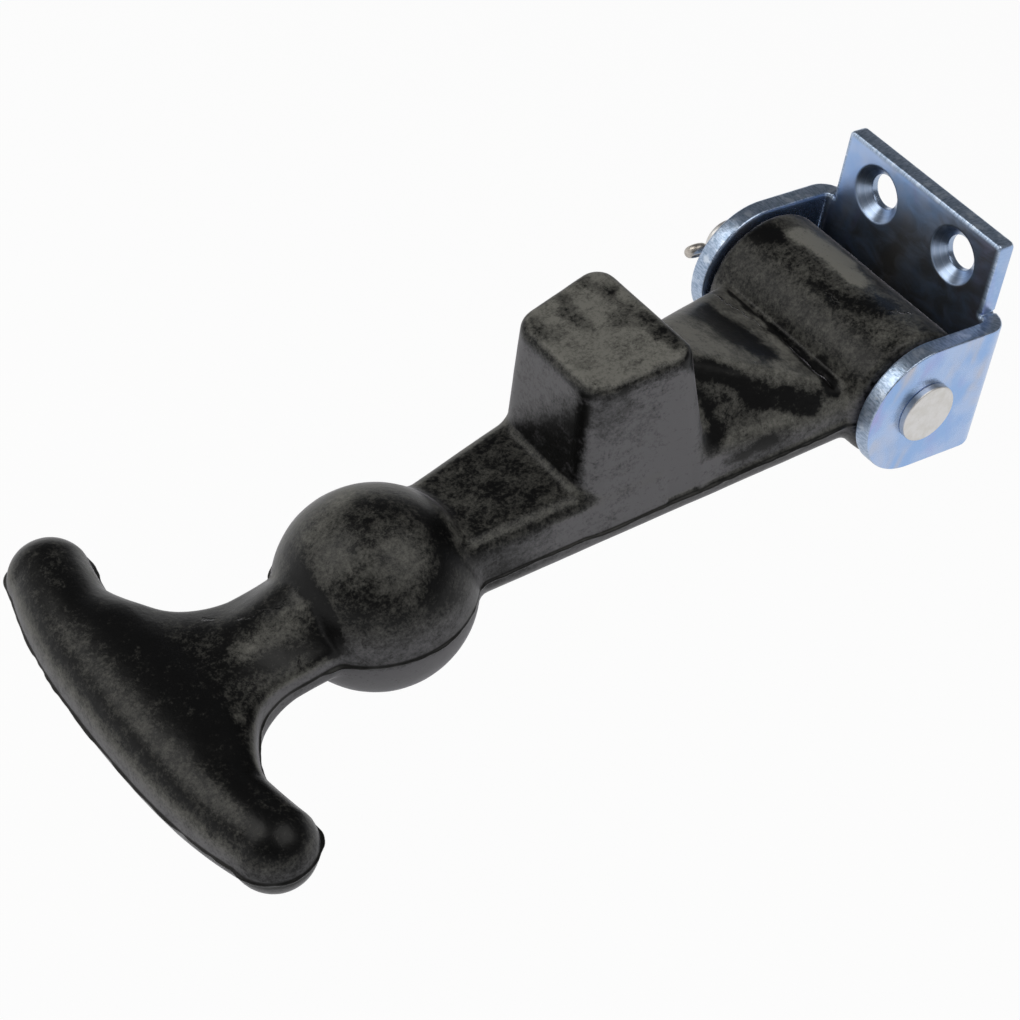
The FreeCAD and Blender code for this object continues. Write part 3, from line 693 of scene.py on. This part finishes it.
def haze_and_light_level(points, normals):
    """How much grey coat each point keeps, with painted highlights, sheen and shade added."""
    x, y, z = points.T
    facing_x, facing_y, facing_z = normals.T
    # Which lump a point is on, and whether it looks up or out.
    wall = rise(facing_z, 0.55, 0.12)
    top = rise(facing_z, 0.8, 0.93)
    beside_block = rise(x, -86.0, -74.0) * rise(x, -38.0, -45.0) * rise(facing_z, 0.4, 0.2) * (z > 0)
    on_block = rise(x, -76.5, -74.5) * rise(x, -41.5, -43.5) * rise(z, 9.5, 12.5)
    on_block = np.maximum(on_block, beside_block)
    at_hinge = rise(x, -44.5, -40.0) * (1 - on_block)
    on_barrel = rise(x, -15.0, -11.0)
    on_grip = rise(x, -125.0, -129.0)
    on_ball = rise(np.hypot(np.hypot(x - BALL_X, y), z), BALL_RADIUS + 1.2, BALL_RADIUS + 0.3)
    on_strap = (1 - on_block) * (1 - at_hinge) * (1 - on_grip) * (1 - on_ball)

    # Ramp, barrel and block. The ramp's near flank is darker, as painted shade. The block's front gets
    # painted shade low down at the near corner, and its top rim is darker: partly barer, partly a painted
    # dark reflection.
    flank = rise(facing_y, -0.35, -0.65)
    level = 0.95 * on_block + at_hinge * (1 - on_barrel) * (0.54 - 0.26 * flank) + 0.2 * on_barrel
    shaded_corner = rise(y + z, 27.0, 17.0) * rise(facing_x, -0.7, -0.97) * rise(z, 6.0, 8.0)
    rim = rise(np.abs(z - BLOCK_RISE + 1.1), 2.3, 0.6) * (1 - top)
    level -= on_block * (shaded_corner + 0.75 * rim + 0.1 * top)
    level += at_hinge * wall * 0.1
    # Strap: a painted highlight along its near upper edge, paler walls by the block, and painted sheen where
    # it faces away. Ball: paler below the parting line as painted light from below, and painted sheen on its
    # sides and far side.
    near_edge_highlight = rise(np.abs(facing_z - 0.82), 0.14, 0.04) * (facing_y < 0)
    near_wall = rise(facing_z, 0.3, 0.05) * (0.06 + 0.46 * rise(x, -89.0, -79.0))
    level += on_strap * (0.13 + 0.24 * near_edge_highlight + near_wall)
    level += on_strap * 0.45 * rise(facing_y, 0.15, 0.5)
    level += on_ball * (0.06 + 0.8 * rise(z, -0.4, -1.5) + 0.35 * rise(facing_z, 0.45, 0.1))
    level += on_ball * 0.4 * rise(facing_y, 0.25, 0.75)
    # Neck and handle: painted sheen on their sides, but painted shade on the outer side below the parting
    # line, and less sheen on the near tip.
    outer = rise(facing_x, -0.35, -0.75)
    below = rise(z, -0.2, -0.9)
    edge = rise(facing_z, 0.72, 0.3)
    tip = 0.7 * rise(y, -36.0, -42.0)
    level += on_grip * edge * 0.85 * (1 - below * outer * rise(y, -32.0, -24.0)) * (1 - tip)
    for reach, strength, *path in SOFT_MARKS:
        level += strength * rise(away(points, path), reach, 0)
    # Ragged marks are measured from places moved about by noise, which makes their edges ragged.
    coarse = np.stack([lattice_noise(points, 4.0, 20 + axis) for axis in range(3)], axis=1)
    fine = np.stack([lattice_noise(points, 1.6, 30 + axis) for axis in range(3)], axis=1)
    ragged = points + 1.1 * coarse + 0.5 * fine
    for reach, strength, *path in RAGGED_MARKS:
        level += strength * rise(away(ragged, path), reach, reach * 0.45)
    return np.clip(level, -0.1, 1.2)


def to_latch(points):
    """Takes points in millimetres from the pull's frame to the latch's own."""
    return points @ np.array(Matrix.Rotation(-DROOP, 3, "Y")).T + np.array(PIVOT / MM)


def make_pull():
    points, quads = surface_net(pull_distance, *pull_grid(GRID_STEP))
    points = settle(pull_distance, points)
    normals = slopes(pull_distance, points)
    normals /= np.linalg.norm(normals, axis=1)[:, None]
    level = haze_and_light_level(points, normals)
    height = points[:, 2]
    groove_share, groove_height, groove_half = GROOVE
    ridge = np.exp(-(height / FLASH_HALF) ** 4)
    ridge -= groove_share * np.exp(-((height - groove_height) / groove_half) ** 2)
    # The flash stands on upright walls only, and the bore stays true.
    upright = 1 - np.clip(np.abs(normals[:, 2]) * 1.6, 0, 1)
    bore_wall = 1.5
    outer = np.hypot(points[:, 0], points[:, 2]) > BORE_RADIUS + bore_wall
    uneven = 0.06 * lattice_noise(points, 9.0, 1) + 0.025 * lattice_noise(points, 3.1, 2)
    points += normals * ((flash_height(points) * ridge * upright + uneven) * outer)[:, None]
    pull = mesh_object("pull_moulding", to_latch(points), quads, {"haze_and_light": level})
    dress(pull, rubber(), "pull", "rubber_pull")


# Bracket: a flat blank with rolled-over edges, folded

SHEET = 4.0
PLATE_FRONT = -4.0
FLAT = 22.5
BEND = 1.3
BEND_MIDDLE = BEND + SHEET / 2
BEND_RUN = BEND_MIDDLE * math.pi / 2
EAR_START = FLAT + BEND_RUN
PIN_RUN = EAR_START + 14.3
EAR_RADIUS = 14.4
FLANGE_RISE = 30.6
CORNER_RADIUS = 1.2
RELIEF_RADIUS = 0.35
SCREW_RISE = 21.7
SCREW_OFFSET = 11.45
HOLE_STEPS = 48

# Cuts through the sheet, from its front face to its back: inset or radius, and depth.
OUTLINE_CUT = ((1.9, 0.0), (1.2, 0.03), (0.7, 0.1), (0.35, 0.22), (0.12, 0.42), (0.0, 0.75),
               (0.0, 2.2), (0.03, 3.5), (0.1, 3.8), (0.22, 3.94), (0.42, 4.0))
SCREW_CUT = ((6.5, 0.0), (6.2, 0.03), (6.0, 0.12), (5.85, 0.27), (4.8, 1.32), (3.75, 2.37),
             (3.62, 2.6), (3.6, 3.6), (3.65, 3.85), (3.8, 3.97), (4.0, 4.0))
PIN_CUT = ((5.4, 0.0), (5.1, 0.06), (4.95, 0.2), (4.9, 0.5), (4.9, 3.5), (4.95, 3.8), (5.1, 3.94), (5.4, 4.0))


def half_outline(inset):
    """The blank's edge from the bottom's middle to the top's middle, moved in by inset: run and height."""
    notch = RELIEF_RADIUS + inset
    start = math.degrees(math.asin(inset / notch))
    right = arc((FLAT, EAR_RADIUS), notch, -start, -90, 3)
    left = arc((FLAT, EAR_RADIUS), notch, -90, start - 270, 6)[1:]
    bend_runs = np.linspace(EAR_START, right[0][0], 8)[:-1].tolist()
    low = EAR_RADIUS - inset
    runs = [0.0, FLAT] + sorted(point[0] for point in right[:-1]) + bend_runs[::-1]
    points = [(run, -low) for run in runs]
    points += arc((PIN_RUN, 0), low, -90, 90, 44)
    points += [(run, low) for run in bend_runs]
    points += right + left
    radius = max(CORNER_RADIUS - inset, 0.02)
    points += arc((FLAT - inset - radius, FLANGE_RISE - inset - radius), radius, 0, 90, 4)
    return points + [(0.0, FLANGE_RISE - inset)]


def outline(inset):
    """The blank's whole edge, moved in by inset."""
    half = half_outline(inset)
    return half + [(-run, height) for run, height in half[-2:0:-1]]


def fold(points):
    """Takes points of the flat blank, as run, height and depth, to the folded bracket."""
    run = np.abs(points[:, 0])
    turn = np.clip((run - FLAT) / BEND_MIDDLE, 0, math.pi / 2)
    radius = BEND + points[:, 2]
    beyond = np.maximum(run - EAR_START, 0)
    across = np.minimum(run, FLAT) + radius * np.sin(turn)
    inwards = PLATE_FRONT - BEND + radius * np.cos(turn) - beyond
    return np.stack([inwards, np.sign(points[:, 0]) * across, points[:, 1] - SCREW_RISE], axis=1)


def bend_lines(loop):
    """Pairs of an outline's points at the same run, below and above each other, across the bends."""
    slack = 0.001
    pairs = []
    for side in (1, -1):
        runs = {}
        for i, (run, height) in enumerate(loop):
            if FLAT - slack <= run * side <= EAR_START + slack and abs(height) < EAR_RADIUS + slack:
                runs.setdefault(round(run, 4), []).append((height, i))
        pairs += [(min(found)[1], max(found)[1]) for found in runs.values() if len(found) > 1]
    return pairs


def fill(loops, lines, holes):
    """Triangles between an outline and its holes, as numbers into all the loops' points."""
    flat = [Vector(point) for loop in loops for point in loop]
    edges = list(lines)
    start = 0
    for loop in loops:
        count = len(loop)
        edges += [(start + i, start + (i + 1) % count) for i in range(count)]
        start += count
    inside_edges = 1
    same_place = 1e-7
    found, _, faces, origins, _, _ = delaunay_2d_cdt(flat, edges, [], inside_edges, same_place)
    kept = []
    for face in faces:
        middle = sum((found[i] for i in face), Vector((0, 0))) / len(face)
        if all((middle - Vector(centre)).length > radius for centre, radius in holes):
            kept.append([origins[i][0] for i in face])
    return kept


def lengths_along(loop):
    """How far along a closed loop each of its points lies."""
    path = np.array(loop + loop[:1])
    return np.concatenate([[0], np.cumsum(np.hypot(*np.diff(path, axis=0).T))])[:-1].tolist()


def make_bracket():
    """The cuts' walls and the two faces between them, folded. Its points carry what the zinc needs."""
    cuts = [(OUTLINE_CUT, outline)]
    centres = []
    for side in (1, -1):
        for centre, cut in (((side * SCREW_OFFSET, SCREW_RISE), SCREW_CUT), ((side * PIN_RUN, 0.0), PIN_CUT)):
            cuts.append((cut, lambda radius, centre=centre: arc(centre, radius, 0, 360, HOLE_STEPS)[:-1]))
            centres.append(centre)
    points = []
    faces = []
    sheared = []
    turned = []
    along = []
    front = []
    back = []
    for cut, loop_at in cuts:
        start = len(points)
        loops = [loop_at(step) for step, _ in cut]
        count = len(loops[0])
        run = lengths_along(loops[len(loops) // 2])
        for (_, depth), loop in zip(cut, loops):
            points += [(*point, depth) for point in loop]
            cut_through = float(0.05 < depth < SHEET - 0.1)
            sheared += [cut_through * (cut is not SCREW_CUT)] * count
            turned += [cut_through * (cut is SCREW_CUT)] * count
            along += run
        wall = quads_between(len(cut), count, start)
        faces += wall if loop_at is outline else [quad[::-1] for quad in wall]
        front.append((start, loops[0]))
        back.append((start + (len(cut) - 1) * count, loops[-1]))
    # A hole's loop has straight sides, which lie a little within its radius.
    within = 0.997
    for side, end in ((front, 0), (back, -1)):
        numbers = [start + i for start, loop in side for i in range(len(loop))]
        holes = [(centre, cut[end][0] * within) for centre, (cut, _) in zip(centres, cuts[1:])]
        for face in fill([loop for _, loop in side], bend_lines(side[0][1]), holes):
            face = [numbers[i] for i in face]
            faces.append(face if end == 0 else face[::-1])
    points = np.array(points)
    values = {"sheared": sheared, "turned": turned, "along": along, "depth": points[:, 2].tolist()}
    bracket = mesh_object("folded_bracket", fold(points), faces, values)
    turn_faces_out(bracket)
    keep_flats_flat(bracket)
    dress(bracket, zinc(), "bracket", "bracket")


# Hinge pin and split pin

PIN_TILT = math.radians(12.5)
SPLIT_PIN_ROLL = math.radians(38)
PIN_RADIUS = 4.75
PIN_LENGTH = 63.5
EAR_FACE = 27.8
HEAD_RADIUS = 6.4
HEAD_HEIGHT = 1.6
CROSS_HOLE_RADIUS = 1.4
CROSS_INSET = 4.0


def on_pin(thing, along, roll=0.0):
    """Puts a piece's mesh on the pin's axis, turned as the split pin is and rolled about that."""
    place = PIVOT + Vector((0, along * MM, 0))
    turn = Matrix.Rotation(PIN_TILT, 4, "Y") @ Matrix.Rotation(roll, 4, "X")
    thing.data.transform(Matrix.Translation(place) @ turn)


def lathe(profile, steps):
    """Points and faces turned about Y. The profile, of radius and height, starts and ends on the axis."""
    points = [(0, profile[0][1], 0)]
    for radius, height in profile[1:-1]:
        points += [(x, height, z) for x, z in arc((0, 0), radius, 0, 360, steps)[:-1]]
    points.append((0, profile[-1][1], 0))
    last = len(points) - 1
    faces = [quad[::-1] for quad in quads_between(len(profile) - 2, steps, 1)]
    for i in range(steps):
        beside = (i + 1) % steps
        faces.append([0, 1 + i, 1 + beside])
        faces.append([last, last - steps + beside, last - steps + i])
    return points, faces


def make_hinge_pin():
    """A clevis pin: a flat head with a rolled rim, and a shaft with a cross hole at its far end."""
    rim = 0.35
    root = 0.25
    point = 0.9
    head = arc((HEAD_RADIUS - rim, rim - HEAD_HEIGHT), rim, -90, 0, 5)
    seat = arc((HEAD_RADIUS - root, -root), root, 0, 90, 4)
    tip = arc((PIN_RADIUS - point, PIN_LENGTH - point), point, 0, 90, 6)
    profile = [(0, -HEAD_HEIGHT), (HEAD_RADIUS * 0.6, -HEAD_HEIGHT)] + head + seat
    profile += [(PIN_RADIUS, 0), (PIN_RADIUS, 0.3), (PIN_RADIUS, PIN_LENGTH - 12)] + tip + [(0, PIN_LENGTH)]
    pin = mesh_object("clevis_pin", *lathe(profile, 64))
    reach = 9
    bit = [(0, -reach), (CROSS_HOLE_RADIUS, -reach), (CROSS_HOLE_RADIUS, reach), (0, reach)]
    drill = mesh_object("drill", *lathe(bit, 28))
    crosswise = Matrix.Rotation(math.pi / 2, 4, "Z")
    drill.matrix_world = Matrix.Translation((0, (PIN_LENGTH - CROSS_INSET) * MM, 0)) @ crosswise
    cut = pin.modifiers.new("cross_hole", "BOOLEAN")
    cut.object = drill
    cut.solver = "EXACT"
    bpy.context.view_layer.update()
    apply_modifiers(pin)
    bpy.data.objects.remove(drill)
    pin.data.polygons.foreach_set("use_smooth", [True] * len(pin.data.polygons))
    pin.data.set_sharp_from_angle(angle=math.radians(50))
    on_pin(pin, -EAR_FACE)
    keep_flats_flat(pin)
    dress(pin, pale_plating(), "bracket", "hinge_pin")


def split_pin_path():
    """Half of the wire's flat side, from the eye's far point to the open tail's end."""
    slit = 0.06
    eye = 1.35
    neck = 1.9
    bend = 1.9
    centre = -10.9
    leg_end = 6.2
    splay = 55
    tail = 4.6
    neck_x = centre + math.sqrt((eye + neck) ** 2 - (slit + neck) ** 2)
    lean = math.degrees(math.atan2(slit + neck, neck_x - centre))
    path = arc((centre, 0), eye, 180, lean, 18)
    path += arc((neck_x, slit + neck), neck, lean + 180, 270, 8)[1:]
    path += [(x, slit) for x in np.linspace(neck_x, leg_end, 8)[1:]]
    path += arc((leg_end, slit + bend), bend, -90, splay - 90, 8)[1:]
    end = path[-1]
    opened = math.radians(splay)
    for step in (1, 2, 3):
        run = tail * step / 3
        path.append((end[0] + run * math.cos(opened), end[1] + run * math.sin(opened)))
    return path


def make_split_pin():
    """Half-round wire folded double, swept along its flat side."""
    wire = 1.14
    half = split_pin_path()
    path = np.array([(x, -z) for x, z in half[:0:-1]] + half)
    way = np.gradient(path, axis=0)
    way /= np.linalg.norm(way, axis=1)[:, None]
    outwards = np.stack([-way[:, 1], way[:, 0]], axis=1)
    section = [(wire * 0.06, -wire * 0.97)] + arc((0, 0), wire, -80, 80, 10) + [(wire * 0.06, wire * 0.97)]
    section = [(0, -wire * 0.9)] + section + [(0, wire * 0.9)]
    points = []
    for spot, out in zip(path, outwards):
        points += [(spot[0] + out[0] * off, side, spot[1] + out[1] * off) for off, side in section]
    count = len(section)
    faces = quads_between(len(path), count)
    faces.append(list(range(count)))
    faces.append(list(range(len(points) - count, len(points)))[::-1])
    pin = mesh_object("split_pin_wire", points, faces)
    turn_faces_out(pin)
    pin.data.set_sharp_from_angle(angle=math.radians(60))
    on_pin(pin, PIN_LENGTH - CROSS_INSET - EAR_FACE, SPLIT_PIN_ROLL)
    dress(pin, dull_wire(), "bracket", "split_pin")


# Materials

# Fine lines in the rubber, darkened in their grooves as painted shade, in the pull's frame: from, to and half
# width.
WRINKLES = (
    ((-143, 8.4, 6.6), (-138.3, 2.8, 8.5), 0.6), ((-138.3, 2.8, 8.5), (-132, -0.8, 9.9), 0.65),
    ((-132, -0.8, 9.9), (-128, 0.4, 11.2), 0.55), ((-131.4, -8.6, 6.4), (-134.6, -10.6, 4), 0.5),
    ((-3.2, -0.6, 13.9), (-3.8, -4.9, 13.8), 0.55), ((3.2, -13.8, 14), (6.4, -15.4, 12.8), 0.45),
    ((-27.6, -8.4, 14.6), (-25.6, -12.4, 12.2), 0.4), ((-18.4, 14.6, 10), (-15.8, 3.6, 8.7), 0.35))


def rubber():
    """Black rubber under a grey bloomed coat, olive on upward faces and lilac grey on the walls, wiped off in
    patches, with painted highlights, sheen and shade in the coat's level.
    """
    make = Maker(bpy.data.materials.new("bloomed_rubber_with_painted_light"))
    point = make.in_frame(make.place(), tuple(PIVOT / MM), -DROOP)
    facing = make.in_frame(make.facing(), (0.0, 0.0, 0.0), -DROOP)
    height = make.part(point, "Z")
    haze_and_light = make.attribute("haze_and_light")
    wall = make.part(facing, "Z").rises(0.55, 0.12)

    grit = make.noise(point, 0.32, detail=1.0)
    speckle = make.noise(point, 0.75, detail=3.0, roughness=0.75)
    rubbed = make.stretched(point, (0.6, 0.7, 0.9))
    smears = make.noise(rubbed, 1.9, detail=5.0, roughness=0.65, distortion=0.4)
    clouds = make.noise(point, 6.5, detail=4.0, roughness=0.65, distortion=0.4)
    pattern = (grit - 0.5) * 0.5 + (speckle - 0.5) * 1.9 + (smears - 0.5) * 1.8 + (clouds - 0.5) * 0.8
    bloom_and_light = haze_and_light + pattern * (haze_and_light * 0.55 + 0.48)
    bloom_and_light = bloom_and_light.math("MINIMUM", bloom_and_light.larger(0.0), 1.25)

    # The parting line is darker: bare torn rubber, and painted shade along the flash. Under it on the handle,
    # a painted shadow of the flash.
    line = abs(height - 0.05).rises(0.85, 0.3)
    shadow_under_flash = abs(height + 1.0).rises(0.8, 0.25)
    waver = make.noise(point, 2.2, output_colour=True)
    waver = make.vector("SUBTRACT", waver, (0.5, 0.5, 0.5))
    wavering = make.vector("ADD", point, make.stretched(waver, (3.0, 3.0, 3.0)))
    # The wrinkles are grooves in the bump, darkened as painted shade.
    wrinkle_and_shade = make.line(wavering, *WRINKLES[0])
    for wrinkle in WRINKLES[1:]:
        wrinkle_and_shade = wrinkle_and_shade.larger(make.line(wavering, *wrinkle))
    on_handle = make.part(point, "X").rises(-146.0, -152.0)
    bloom_and_light = bloom_and_light * (1 - line * 0.9) * (1 - shadow_under_flash * on_handle * 0.75) * (1 - wrinkle_and_shade * 0.85)
    black = (0.002, 0.002, 0.002)
    # The coat is olive on upward faces; on the walls its lilac tint is partly painted sheen.
    olive = (0.149, 0.1465, 0.132)
    lilac = (0.157, 0.155, 0.164)
    grey = make.colour(wall, olive, lilac)
    make.set(base_color=make.colour(bloom_and_light, black, grey), roughness=bloom_and_light.ranges(0.32, 0.58))
    make.set(specular_ior_level=0.2, sheen_weight=0.45, sheen_roughness=0.2, sheen_tint=(0.92, 0.9, 1.0, 1.0))

    grain = make.noise(point, 0.35, detail=3.0)
    pits = make.noise(point, 2.4, detail=5.0, roughness=0.65)
    normal = make.bump(grain, 0.012)
    normal = make.bump(pits, 0.1, under=normal)
    make.set(normal=make.bump(1 - wrinkle_and_shade, 0.14, under=normal))
    return make.material


def zinc():
    """Bright blue zinc on rolled steel, with soft clouds of violet and grey, and darker sheared edges."""
    make = Maker(bpy.data.materials.new("blue_zinc"))
    point = make.place()
    sheared, turned, along, depth = map(make.attribute, ("sheared", "turned", "along", "depth"))
    drift = make.noise(point, 9.0, detail=3.0)
    film = make.noise(make.stretched(point, (1.0, 1.0, 0.7)), 10.0, detail=2.0, distortion=0.6)
    grain = make.noise(point, 0.5, detail=4.0, roughness=0.65)
    bites = make.noise(make.join(along / 0.4, depth / 1.6, 0.0), 1.0, detail=4.0, roughness=0.62)
    patches = make.noise(make.join(along / 2.6, depth / 3.0, 0.0), 1.0, detail=3.0, roughness=0.6)
    rings = make.noise(make.join(0.0, 0.0, depth / 0.16), 1.0, detail=2.0)

    deep_blue = (0.28, 0.44, 0.74)
    light_blue = (0.4, 0.52, 0.76)
    warm_grey = (0.52, 0.5, 0.52)
    violet = (0.36, 0.38, 0.66)
    face = make.colour(drift.rises(0.35, 0.65), deep_blue, light_blue)
    face = make.colour(film.rises(0.5, 0.85), face, warm_grey)
    face = make.colour(film.rises(0.46, 0.18), face, violet)
    edge = make.colour(bites.rises(0.35, 0.65), (0.24, 0.32, 0.44), (0.46, 0.55, 0.7))
    edge = make.colour(patches.rises(0.52, 0.68), edge, (0.6, 0.68, 0.8))
    side = abs(make.part(make.facing(), "Y")).rises(0.6, 0.9)
    edge = make.colour(side * 0.8, edge, face)
    cone = make.colour(rings.rises(0.3, 0.7), (0.22, 0.3, 0.44), (0.42, 0.5, 0.64))
    rough = drift * 0.6 + grain * 0.4
    web = make.part(make.facing(), "X").rises(-0.6, -0.9)
    sideways = make.stretched(point, (1.0, 0.6, 1.0))
    tarnish = make.noise(sideways, 5.0, detail=5.0, roughness=0.6, distortion=0.8).rises(0.25, 0.65)
    # On the web the face darkens in patches towards its low near corner: the patches are tarnish, and the
    # growth towards the corner is a painted dark reflection.
    low_corner = (make.part(point, "Y") * 0.6 + make.part(point, "Z")).rises(13.0, -4.0)
    face = make.colour(web * low_corner * tarnish.ranges(0.45, 0.9), face, (0.13, 0.125, 0.12))
    make.set(base_color=make.colour(turned, make.colour(sheared, face, edge), cone), metallic=0.95,
             roughness=rough.ranges(0.2, 0.34) + web * 0.14 + sheared * 0.04)
    normal = make.bump(grain, 0.003)
    normal = make.bump(make.noise(point, 5.0, detail=3.0), 0.09, under=normal)
    normal = make.bump(rings * turned, 0.02, under=normal)
    make.set(normal=make.bump((bites + patches) * sheared * (1 - side), 0.05, under=normal))
    return make.material


def pale_plating():
    """Pale satin plating with fine flecks."""
    make = Maker(bpy.data.materials.new("pale_plating"))
    point = make.place()
    cloud = make.noise(point, 2.2, detail=4.0, roughness=0.6)
    fleck = make.noise(point, 0.4, detail=3.0, roughness=0.7)
    tone = make.colour(cloud.rises(0.3, 0.7), (0.6, 0.585, 0.56), (0.7, 0.69, 0.685))
    make.set(base_color=make.colour(fleck.rises(0.62, 0.75), tone, (0.45, 0.44, 0.43)), metallic=1.0,
             roughness=cloud.ranges(0.34, 0.5), normal=make.bump(fleck, 0.015))
    return make.material


def dull_wire():
    """Drawn wire, gone dull."""
    make = Maker(bpy.data.materials.new("dull_wire"))
    cloud = make.noise(make.place(), 1.2, detail=4.0)
    tone = make.colour(cloud.rises(0.3, 0.7), (0.34, 0.31, 0.28), (0.62, 0.58, 0.53))
    make.set(base_color=tone, metallic=1.0, roughness=cloud.ranges(0.3, 0.5))
    return make.material


# Light, floor and backdrop

def add_softbox(name, way, size, glow, colour):
    """A square lamp that faces the latch's middle from a set distance. Its glow is 1 where it shows white."""
    middle = Vector((-0.09, 0.0, -0.03))
    distance = 0.8
    lamp = bpy.data.lights.new(name, "AREA")
    lamp.shape = "SQUARE"
    lamp.size = size
    lamp.energy = glow * math.pi * size ** 2
    lamp.color = colour
    thing = bpy.data.objects.new(name, lamp)
    thing.location = middle + Vector(way).normalized() * distance
    thing.rotation_euler = (middle - thing.location).to_track_quat("-Z", "Y").to_euler()
    bpy.context.scene.collection.objects.link(thing)


def add_floor():
    """A pale floor, below all that the pull reaches. It shows white, but for the latch's soft shadow."""
    height = -215
    half = 6000
    white_share = 0.95
    corners = [(x * half, y * half, height) for x, y in ((-1, -1), (1, -1), (1, 1), (-1, 1))]
    floor = mesh_object("floor", corners, [(0, 1, 2, 3)])
    make = Maker(bpy.data.materials.new("pale_floor"))
    make.set(base_color=(0.92, 0.92, 0.92, 1.0), roughness=0.9)
    seen = make.add("ShaderNodeLightPath", output="Is Camera Ray")
    for ray in ("Is Glossy Ray", "Is Transmission Ray"):
        seen = seen.larger(make.add("ShaderNodeLightPath", output=ray))
    white = make.add("ShaderNodeEmission", None, {"Strength": 1.0})
    shader = Value(make, make.shader.outputs[0])
    mix = make.add("ShaderNodeMixShader", None, {0: seen * white_share, 1: shader, 2: white})
    make.plug(make.nodes["Material Output"].inputs["Surface"], mix)
    floor.data.materials.append(make.material)


def add_backdrop():
    """A white backdrop up to a little above the horizon, and a dim studio over it."""
    world = bpy.data.worlds.new("studio")
    bpy.context.scene.world = world
    make = Maker(world)
    rise_over_floor = make.part(make.add("ShaderNodeTexCoord", output="Generated"), "Z")
    colour = make.colour(rise_over_floor.rises(0.3, 0.12), (0.12, 0.123, 0.129), (1.0, 1.0, 1.0))
    make.plug(make.nodes["Background"].inputs["Color"], colour)


add_camera()
add_backdrop()
add_softbox("front_softbox", (-0.65, 0.38, 0.66), 0.54, 2.8, (1.0, 0.985, 0.94))
add_softbox("near_softbox", (0.09, -0.39, 0.92), 0.62, 2.2, (1.0, 0.985, 0.95))
add_floor()
make_pull()
make_bracket()
make_hinge_pin()
make_split_pin()
bpy.context.scene.view_settings.view_transform = "Standard"
bpy.context.view_layer.update()
